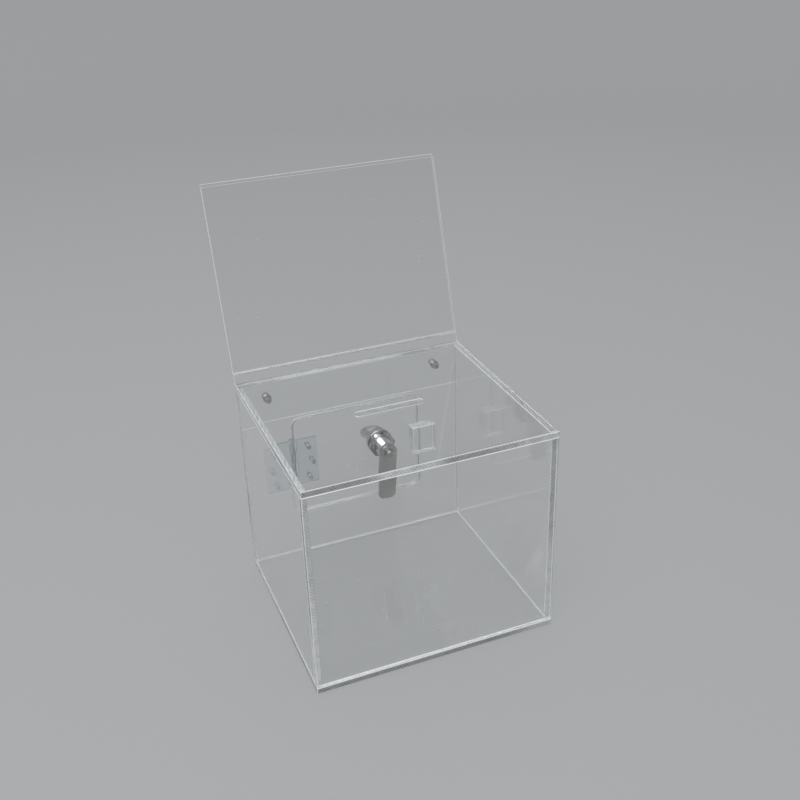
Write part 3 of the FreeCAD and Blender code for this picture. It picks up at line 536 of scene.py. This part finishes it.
def makeSetTree():  # puts one fastener at each point, each turned its own way about its axis
    tree = bpy.data.node_groups.new("fastenerSet", "GeometryNodeTree")
    inputs = {"Geometry": "NodeSocketGeometry", "Fastener": "NodeSocketObject",
              "Finish": "NodeSocketMaterial", "Size": number, "Turn": number, "Seed": "NodeSocketInt"}
    for label, kind in inputs.items():
        tree.interface.new_socket(label, in_out="INPUT", socket_type=kind)
    tree.interface.new_socket("Geometry", in_out="OUTPUT", socket_type="NodeSocketGeometry")
    link = tree.links.new
    given = tree.nodes.new("NodeGroupInput")
    made = tree.nodes.new("NodeGroupOutput")
    info = tree.nodes.new("GeometryNodeObjectInfo")
    link(given.outputs["Fastener"], info.inputs["Object"])
    turn = addNode(tree, "FunctionNodeRandomValue", data_type="FLOAT")
    link(given.outputs["Turn"], turn.inputs[3])  # the largest number, as the names repeat for each type
    link(given.outputs["Seed"], turn.inputs["Seed"])
    spin = tree.nodes.new("ShaderNodeCombineXYZ")
    link(turn.outputs[1], spin.inputs["Y"])  # the random number
    put = tree.nodes.new("GeometryNodeInstanceOnPoints")
    link(given.outputs["Geometry"], put.inputs["Points"])
    link(info.outputs["Geometry"], put.inputs["Instance"])
    link(spin.outputs["Vector"], put.inputs["Rotation"])
    link(given.outputs["Size"], put.inputs["Scale"])
    real = tree.nodes.new("GeometryNodeRealizeInstances")
    link(put.outputs["Instances"], real.inputs["Geometry"])
    paint = tree.nodes.new("GeometryNodeSetMaterial")
    link(real.outputs["Geometry"], paint.inputs["Geometry"])
    link(given.outputs["Finish"], paint.inputs["Material"])
    link(paint.outputs["Geometry"], made.inputs["Geometry"])
    return tree


fastenerSet = makeSetTree()


def socketId(tree, label):
    return next(item.identifier for item in tree.interface.items_tree
                if item.in_out == "INPUT" and item.name == label)


def layOut(name, template, node, body, seed, turn):
    spots = [((low.x + high.x) / 2, 0.0, (low.z + high.z) / 2) for low, high in looseParts(node)]
    points = bpy.data.meshes.new(name + "Points")
    points.from_pydata(spots, [], [])
    carrier = bpy.data.objects.new(name + "Points", points)
    scene.collection.objects.link(carrier)
    setting = carrier.modifiers.new("set", "NODES")
    setting.node_group = fastenerSet
    given = {"Fastener": template, "Finish": fastenerSteel, "Size": 1.0, "Turn": turn, "Seed": seed}
    for label, value in given.items():
        setting[socketId(fastenerSet, label)] = value
    bpy.context.view_layer.update()
    mesh = bpy.data.meshes.new_from_object(carrier.evaluated_get(bpy.context.evaluated_depsgraph_get()))
    mesh.name = name
    bpy.data.objects.remove(carrier)
    addPiece(name, mesh, body, node)


# hinge and sign screws: socket heads inside, nuts and bare thread outside

hingeScrew = {"head": 2.0 * mm, "round": 0.4 * mm, "shank": 1.0 * mm, "plain": 0.8 * mm, "pitch": 0.4 * mm,
              "threadDepth": 0.14 * mm, "socket": 0.75 * mm, "socketDepth": 1.0 * mm, "knurl": 0.05 * mm,
              "knurlCount": 30, "around": 60}
signScrew = {"head": 4.0 * mm, "round": 0.5 * mm, "shank": 1.5 * mm, "plain": 6.0 * mm, "pitch": 0.5 * mm,
             "threadDepth": 0.2 * mm, "socket": 1.3 * mm, "socketDepth": 2.2 * mm, "knurl": 0.06 * mm,
             "knurlCount": 30, "around": 120}
bothScrews = {"tip": 0.4 * mm, "tipShare": 0.75, "drillPoint": 0.25 * mm, "mouthDepth": 0.15 * mm,
              "mouthShare": 1.3, "socketUpTo": 1.05, "socketCorner": 1.16, "knurlEnd": 0.2 * mm,
              "knurlFade": 0.5 * mm, "seatEdge": 0.1 * mm, "roundRows": ((0.3, 0.3), (0.9, 0.0), (1.4, 0.0))}
washerLook = {"bore": 1.75 * mm, "round": 0.2 * mm, "around": 48}
threadGap = 0.05 * mm


def makeSocketScrew(name, node, look):
    low, high = looseParts(node)[0]
    headRadius = (high.x - low.x) / 2
    top = low.y
    soft = look["round"]
    seat = top + look["head"]
    tip = high.y - bothScrews["tip"]
    floor = top + look["socketDepth"]
    socket = look["socket"]
    edge = bothScrews["seatEdge"]
    threadStart = seat + look["plain"]
    thread = threadShape(threadStart, tip, look["pitch"], look["threadDepth"])

    def shape(along, radius, turn):
        if radius < socket * bothScrews["socketUpTo"] and along < floor + hair:
            return min(hexRadius(2 * socket, turn), socket * bothScrews["socketCorner"])
        if abs(radius - headRadius) < hair and top + soft < along < seat - bothScrews["knurlEnd"]:
            return radius - look["knurl"] * (0.5 + 0.5 * math.cos(look["knurlCount"] * turn))
        return thread(along, radius, turn)

    profile = [(floor + bothScrews["drillPoint"], 0.0), (floor, socket),
               (top + bothScrews["mouthDepth"], socket), (top, socket * bothScrews["mouthShare"]),
               (top, headRadius - soft)]
    profile += [(top + down * soft, headRadius - inward * soft) for down, inward in bothScrews["roundRows"]]
    profile += [(seat - bothScrews["knurlFade"], headRadius), (seat - edge, headRadius),
                (seat, headRadius - edge), (seat, look["shank"])]
    profile += threadRun(threadStart, tip, look["shank"], look["pitch"])
    profile += [(high.y, look["shank"] * bothScrews["tipShare"]), (high.y, 0.0)]
    return solidObject(name, turnedSolid(profile, look["around"], shape))


def makeNut(name, node, screw):
    low, high = looseParts(node)[0]
    bore = screw["shank"] + threadGap
    return solidObject(name, nutSolid(low.y, high.y, high.x - low.x, bore, screw["pitch"]))


def makeWasher(name, node):
    low, high = looseParts(node)[0]
    outer = (high.x - low.x) / 2
    bore = washerLook["bore"]
    soft = washerLook["round"]
    profile = [(low.y, bore), (low.y, outer - soft), (low.y + soft, outer), (high.y - soft / 2, outer),
               (high.y, outer - soft / 2), (high.y, bore)]
    return solidObject(name, turnedSolid(profile, washerLook["around"], closed=True))


quarterTurn = math.pi / 2
sixthTurn = math.pi / 3
hingeScrewShape = makeSocketScrew("hingeScrew", "hinge_wall_screws", hingeScrew)
hingeNutShape = makeNut("hingeNut", "hinge_wall_nuts", hingeScrew)
signScrewShape = makeSocketScrew("signScrew", "sign_screws", signScrew)
signNutShape = makeNut("signNut", "sign_nuts", signScrew)
signWasherShape = makeWasher("signWasher", "sign_washers")
layOut("screwsHingeWall", hingeScrewShape, "hinge_wall_screws", "box", 3, quarterTurn)
layOut("screwsHingeDoor", hingeScrewShape, "hinge_door_screws", "door", 8, quarterTurn)
layOut("nutsHingeWall", hingeNutShape, "hinge_wall_nuts", "box", 5, sixthTurn)
layOut("nutsHingeDoor", hingeNutShape, "hinge_door_nuts", "door", 11, sixthTurn)
layOut("screwsSign", signScrewShape, "sign_screws", "box", 2, quarterTurn)
layOut("washersSign", signWasherShape, "sign_washers", "box", 4, quarterTurn)
layOut("nutsSign", signNutShape, "sign_nuts", "box", 6, sixthTurn)
for spare in (hingeScrewShape, hingeNutShape, signScrewShape, signNutShape, signWasherShape):
    bpy.data.objects.remove(spare)
print("fasteners set")


# cam lock

lockLook = {"thread": 1.0 * mm, "threadDepth": 0.45 * mm, "barrel": 8.0 * mm, "flats": 7.0 * mm,
            "bore": 5.75 * mm, "boreEdge": 0.2 * mm, "recess": 7.5 * mm, "recessDepth": 2.5 * mm,
            "round": 1.5 * mm, "rimEdge": 0.25 * mm, "headEdge": 0.3 * mm, "seatGap": 0.02 * mm,
            "neck": 0.1 * mm, "plain": 1.0 * mm, "runOut": 0.3 * mm, "endShare": 0.96, "wallFrom": 0.9,
            "around": 120, "roundTurns": (90, 68, 45, 22, 0)}
lugLook = {"rise": 1.0 * mm, "sink": 0.01 * mm, "inner": 6.2 * mm, "outerShare": 0.99,
           "half": math.radians(30.0), "steps": 12}
lockLow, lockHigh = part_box("lock_housing")
doorLow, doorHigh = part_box("access_door")
lockAxis = Vector(((lockLow.x + lockHigh.x) / 2, 0, (lockLow.z + lockHigh.z) / 2))


def addLug(solid, end):  # the lug that stops the turn
    steps = lugLook["steps"]
    turns = [lugLook["half"] * (2 * i / steps - 1) for i in range(steps + 1)]
    rows = []
    for level in (end + lugLook["sink"], lockLow.y):
        for radius in (lugLook["inner"], lockLook["barrel"] * lugLook["outerShare"]):
            places = [(radius * math.sin(a), level, radius * math.cos(a)) for a in turns]
            rows.append([solid.verts.new(place) for place in places])
    order = [rows[0], rows[1], rows[3], rows[2]]
    lug = []
    for first, second in zip(order, order[1:] + order[:1]):
        for i in range(steps):
            lug.append(solid.faces.new((first[i], first[i + 1], second[i + 1], second[i])))
    for i in (0, steps):
        lug.append(solid.faces.new([row[i] for row in order]))
    bmesh.ops.recalc_face_normals(solid, faces=lug)


def makeHousing():
    front = lockHigh.y
    flange = doorHigh.y
    end = lockLow.y + lugLook["rise"]
    headRadius = (lockHigh.x - lockLow.x) / 2
    barrel = lockLook["barrel"]
    bore = lockLook["bore"]
    recess = lockLook["recess"]
    recessFloor = front - lockLook["recessDepth"]
    rim = lockLook["rimEdge"]
    soft = lockLook["round"]
    seat = flange + lockLook["seatGap"]
    threadStart = doorLow.y + lockLook["plain"]
    threadEnd = end + lockLook["runOut"]
    thread = threadShape(threadStart, threadEnd, lockLook["thread"], lockLook["threadDepth"])

    def shape(along, radius, turn):
        if along > flange - hair or radius < barrel * lockLook["wallFrom"]:
            return radius
        return min(thread(along, radius, turn), lockLook["flats"] / max(hair, abs(math.cos(turn))))

    profile = [(recessFloor, recess), (front - rim, recess), (front, recess + rim)]
    for turn in lockLook["roundTurns"]:
        a = math.radians(turn)
        profile.append((front - soft * (1 - math.sin(a)), headRadius - soft * (1 - math.cos(a))))
    profile += [(flange + lockLook["headEdge"], headRadius), (seat, headRadius - rim), (seat, barrel),
                (flange - lockLook["neck"], barrel)]
    profile += threadRun(threadStart, threadEnd, barrel, lockLook["thread"])
    profile += [(end, barrel * lockLook["endShare"]), (end, bore + lockLook["boreEdge"]),
                (end + lockLook["boreEdge"], bore), (recessFloor, bore)]
    solid = turnedSolid(profile, lockLook["around"], shape, closed=True)
    addLug(solid, end)
    bmesh.ops.translate(solid, verts=solid.verts, vec=lockAxis)
    finishPiece("lockHousing", solid, "door", [lockPlate], "lock_housing")


def makeLockNut():
    low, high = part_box("lock_nut")
    solid = nutSolid(low.y, high.y - lockLook["seatGap"], high.x - low.x, lockLook["barrel"] + threadGap,
                     lockLook["thread"])
    bmesh.ops.translate(solid, verts=solid.verts, vec=lockAxis)
    finishPiece("lockNut", solid, "door", [lockPlate], "lock_nut")


makeHousing()
makeLockNut()

workedParts = [("lockPlug", "lock_plug", "lock_plating", lockPlate, 0.15 * mm),
               ("lockWafers", "lock_wafers", "lock_plating", lockPlate, 0.08 * mm),
               ("stopWasher", "stop_washer", "cam_steel", camSteel, 0.12 * mm),
               ("camArm", "cam_arm", "cam_steel", camSteel, 0.3 * mm),
               ("camWasher", "cam_washer", "cam_steel", camSteel, 0.2 * mm),
               ("camScrew", "cam_screw", "cam_steel", camSteel, 0.12 * mm)]
for name, node, slotName, material, edgeBreak in workedParts:
    part = mergedCopy(node)
    breakEdges(part, edgeBreak, segments=2)
    finishPiece(name, part, "cam", [material], node)

keyLook = {"edgeBreak": 0.25 * mm, "bow": 22.0 * mm, "rim": 2.2 * mm, "field": 0.3 * mm, "draft": 0.97,
           "clearance": 1.0 * mm, "around": 64}


def cutAway(target, cutter):
    bmesh.ops.recalc_face_normals(cutter, faces=cutter.faces)
    tool = solidObject("cuttingTool", cutter)
    cut = target.modifiers.new("cut", "BOOLEAN")
    cut.object = tool
    cut.operation = "DIFFERENCE"
    cut.solver = "EXACT"
    cut.use_self = True
    bpy.context.view_layer.update()
    shaped = bpy.data.meshes.new_from_object(target.evaluated_get(bpy.context.evaluated_depsgraph_get()))
    bpy.data.objects.remove(tool)
    bpy.data.objects.remove(target)
    solid = bmesh.new()
    solid.from_mesh(shaped)
    return solid


def makeKey():  # the bow's two faces are pressed in, which leaves a raised rim
    low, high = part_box("lock_key")
    solid = mergedCopy("lock_key")
    breakEdges(solid, keyLook["edgeBreak"], segments=2)
    middle = Vector(((low.x + high.x) / 2, high.y - keyLook["bow"] / 2, (low.z + high.z) / 2))
    half = (high.z - low.z) / 2
    reach = keyLook["bow"] / 2 - keyLook["rim"]
    cutter = bmesh.new()
    for side in (-1, 1):
        disc = bmesh.ops.create_cone(cutter, cap_ends=True, segments=keyLook["around"], radius1=reach,
                                     radius2=reach, depth=1.0)
        for v in disc["verts"]:  # the disc's two ends go to the pressed field and above the key
            deep = v.co.z * side < 0
            v.co.z = side * (half - keyLook["field"] if deep else half + keyLook["clearance"])
            v.co.xy = v.co.xy * (keyLook["draft"] if deep else 1.0)
            v.co += middle
    pressed = cutAway(solidObject("keyBlank", solid), cutter)
    clearSlivers(pressed)
    finishPiece("lockKey", pressed, "cam", [keyNickel], "lock_key")


makeKey()

starLook = {"teeth": 10, "stepsPerTooth": 8, "toothShare": 0.6, "root": 0.72, "gapRadius": 0.76,
            "bore": 2.2 * mm, "twist": 0.06125 * mm, "thickness": 0.55, "tipThickness": 0.8}


def makeStar():  # outside teeth, each twisted out of the flat
    low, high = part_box("star_washer")
    outer = (high.z - low.z) / 2
    root = outer * starLook["root"]
    bore = starLook["bore"]
    middle = (low.y + high.y) / 2
    half = (high.y - low.y) / 2 * starLook["thickness"]
    steps = starLook["stepsPerTooth"]
    around = starLook["teeth"] * steps
    solid = bmesh.new()
    rows = []
    for radius, level in ((bore, -1), (root, -1), (outer, -1), (outer, 1), (root, 1), (bore, 1)):
        atTip = radius == outer
        flat = middle + level * half * (starLook["tipThickness"] if atTip else 1.0)
        row = []
        for i in range(around):
            turn = 2 * math.pi * i / around
            across = (i % steps) / steps / starLook["toothShare"]  # 0 to 1 on a tooth, more in a gap
            r = radius
            lift = 0.0
            if atTip and across < 1:
                lift = starLook["twist"] * (2 * across - 1)
            elif atTip:
                r = outer * starLook["gapRadius"]
            row.append(solid.verts.new((r * math.cos(turn), flat + lift, r * math.sin(turn))))
        rows.append(row)
    for first, second in zip(rows, rows[1:] + rows[:1]):
        joinRings(solid, first, second)
    bmesh.ops.recalc_face_normals(solid, faces=solid.faces)
    bmesh.ops.translate(solid, verts=solid.verts, vec=lockAxis)
    finishPiece("starWasher", solid, "cam", [camSteel], "star_washer")


makeStar()
print("lock made")


# stage: pale floor that curves up all round, soft lamps, the photograph's camera

stageLook = {"flat": 1.8, "bend": 0.7, "bendSteps": 10, "rise": 2.6, "drop": 0.2 * mm, "around": 64,
             "tone": (0.37, 0.375, 0.38, 1), "rough": 0.8, "evenTone": (0.42, 0.425, 0.43, 1),
             "evenShare": 0.55}


def makeFloorMaterial():  # lit like any floor, with an even tone mixed in for what the camera and glass see
    material, tree, surface = newMaterial("paleFloor")
    surface.inputs["Base Color"].default_value = stageLook["tone"]
    surface.inputs["Roughness"].default_value = stageLook["rough"]
    even = addNode(tree, "ShaderNodeEmission", Color=stageLook["evenTone"], Strength=1.0)
    path = addNode(tree, "ShaderNodeLightPath")
    seen = addNode(tree, "ShaderNodeMath", operation="MAXIMUM")
    seenAtAll = addNode(tree, "ShaderNodeMath", operation="MAXIMUM")
    share = addNode(tree, "ShaderNodeMath", operation="MULTIPLY")
    share.inputs[1].default_value = stageLook["evenShare"]
    tree.links.new(path.outputs["Is Camera Ray"], seen.inputs[0])
    tree.links.new(path.outputs["Is Glossy Ray"], seen.inputs[1])
    tree.links.new(seen.outputs["Value"], seenAtAll.inputs[0])
    tree.links.new(path.outputs["Is Transmission Ray"], seenAtAll.inputs[1])
    tree.links.new(seenAtAll.outputs["Value"], share.inputs[0])
    showMixed(tree, share.outputs["Value"], surface.outputs["BSDF"], even.outputs["Emission"])
    return material


def makeStage():
    flat = stageLook["flat"]
    bend = stageLook["bend"]
    steps = stageLook["bendSteps"]
    around = stageLook["around"]
    floorLevel = -stageLook["drop"]
    line = [(flat, 0.0)]
    for i in range(1, steps + 1):
        a = quarterTurn * i / steps
        line.append((flat + bend * math.sin(a), bend * (1 - math.cos(a))))
    line.append((flat + bend, stageLook["rise"]))
    bowl = bmesh.new()
    inner = [bowl.verts.new((0, 0, floorLevel))]
    for reach, rise in line:
        outer = []
        for i in range(around):
            a = 2 * math.pi * i / around
            outer.append(bowl.verts.new((reach * math.cos(a), reach * math.sin(a), rise + floorLevel)))
        for face in joinRings(bowl, outer, inner):
            face.smooth = True
        inner = outer
    mesh = bpy.data.meshes.new("stageBowl")
    bowl.to_mesh(mesh)
    bowl.free()
    mesh.materials.append(makeFloorMaterial())
    floor = bpy.data.objects.new("stageBowl", mesh)
    scene.collection.objects.link(floor)


lampAim = Vector((0, 0.05, 0.13))
lamps = [{"name": "keyLamp", "place": (-0.9, -0.95, 1.95), "size": 1.8, "power": 38.0},
         {"name": "topLamp", "place": (0.1, 0.5, 2.1), "size": 1.9, "power": 15.0}]


def addLamp(name, place, size, power):
    data = bpy.data.lights.new(name, "AREA")
    data.shape = "SQUARE"
    data.size = size
    data.energy = power
    lamp = bpy.data.objects.new(name, data)
    lamp.location = place
    lamp.rotation_euler = (lampAim - Vector(place)).to_track_quat("-Z", "Y").to_euler()
    scene.collection.objects.link(lamp)


photoView = {"azimuth": -21.21, "elevation": 27.62, "roll": -1.89, "place": (-0.2514, -0.67188, 0.56067),
             "focalPixels": 1045.6, "photoPixels": 800, "sensor": 36.0, "nearest": 0.01}


def addCamera():
    azimuth = math.radians(photoView["azimuth"])
    elevation = math.radians(photoView["elevation"])
    roll = math.radians(photoView["roll"])
    back = Vector((math.sin(azimuth) * math.cos(elevation), -math.cos(azimuth) * math.cos(elevation),
                   math.sin(elevation)))
    right = Vector((0, 0, 1)).cross(back).normalized()
    up = back.cross(right)
    turnedRight = math.cos(roll) * right + math.sin(roll) * up
    turnedUp = -math.sin(roll) * right + math.cos(roll) * up
    data = bpy.data.cameras.new("photoCamera")
    data.sensor_width = photoView["sensor"]
    data.lens = photoView["focalPixels"] / photoView["photoPixels"] * photoView["sensor"]
    data.clip_start = photoView["nearest"]
    camera = bpy.data.objects.new("photoCamera", data)
    place = Matrix((turnedRight, turnedUp, back)).transposed().to_4x4()
    place.translation = Vector(photoView["place"])
    camera.matrix_world = place
    scene.collection.objects.link(camera)
    scene.camera = camera


worldLook = {"tone": (0.85, 0.87, 0.9, 1), "strength": 0.4}
lightBounces = {"max_bounces": 24, "transmission_bounces": 24, "glossy_bounces": 12,
                "transparent_max_bounces": 32}


def addWorld():
    world = bpy.data.worlds.new("studio")
    world.use_nodes = True
    background = world.node_tree.nodes["Background"]
    background.inputs["Color"].default_value = worldLook["tone"]
    background.inputs["Strength"].default_value = worldLook["strength"]
    scene.world = world


makeStage()
for lamp in lamps:
    addLamp(**lamp)
addCamera()
addWorld()
scene.view_settings.view_transform = "Standard"
for name, count in lightBounces.items():
    setattr(scene.cycles, name, count)
print("stage set")
